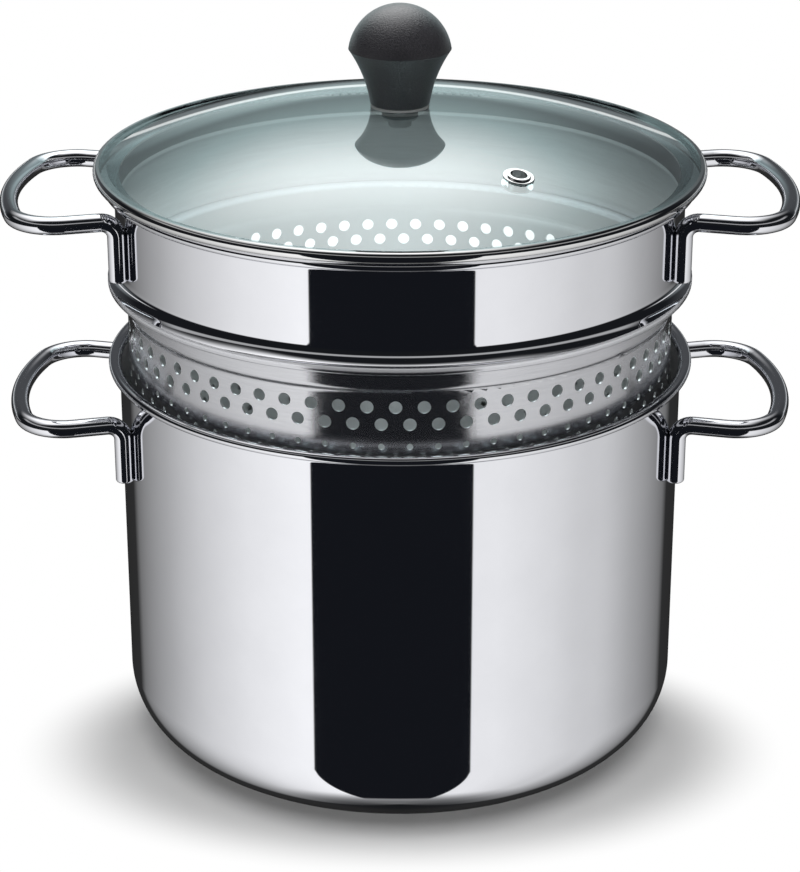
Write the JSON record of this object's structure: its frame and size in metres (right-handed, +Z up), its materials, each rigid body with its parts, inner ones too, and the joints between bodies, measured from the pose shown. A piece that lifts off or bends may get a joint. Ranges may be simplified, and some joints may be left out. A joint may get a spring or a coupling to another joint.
{
  "type": "pasta pot with strainer insert",
  "caption": "Tall steel pot with rod loop handles, a perforated lift-out strainer with a raised collar, and a domed glass lid with a vent and a knob.",
  "frame": {"origin": "middle of the underside of the base, on the table", "axes": "+Z up along the pot's axis, +X through the right-hand handles, -Y towards the picture's viewer"},
  "size_m": [0.3084, 0.2362, 0.2978],
  "materials": {
    "polished_steel": "mirror polished",
    "satin_steel": "satin, brushed round the axis",
    "base_steel": "fine turned",
    "base_aluminium": "plain sheet, sealed in the base",
    "lid_glass": "clear with a faint blue-green tint",
    "knob_plastic": "fine grained, matt",
    "insert_brass": "turned",
    "gasket_rubber": "pale grey silicone, matt"
  },
  "bodies": {
    "pot": {"pot_shell": "polished_steel", "base_core": "base_aluminium", "base_cap": "base_steel", "pot_handle_left": "polished_steel", "pot_handle_right": "polished_steel"},
    "strainer": {"strainer_basket": "satin_steel", "strainer_collar": "polished_steel", "strainer_handle_left": "polished_steel", "strainer_handle_right": "polished_steel"},
    "lid": {"lid_glass": "lid_glass", "lid_rim_band": "polished_steel", "vent_eyelet": "polished_steel", "vent_washer": "satin_steel", "lid_knob": "knob_plastic", "knob_insert": "insert_brass", "knob_gasket": "gasket_rubber", "under_glass_gasket": "gasket_rubber", "screw_washer": "satin_steel", "knob_screw": "satin_steel"}
  },
  "joints": [
    {"name": "strainer_lift", "type": "slide", "parent": "pot", "child": "strainer", "axis": [0, 0, 1], "range_m": [-0.0307, 0.15]},
    {"name": "lid_lift", "type": "slide", "parent": "strainer", "child": "lid", "axis": [0, 0, 1], "range_m": [0, 0.06]}
  ]
}
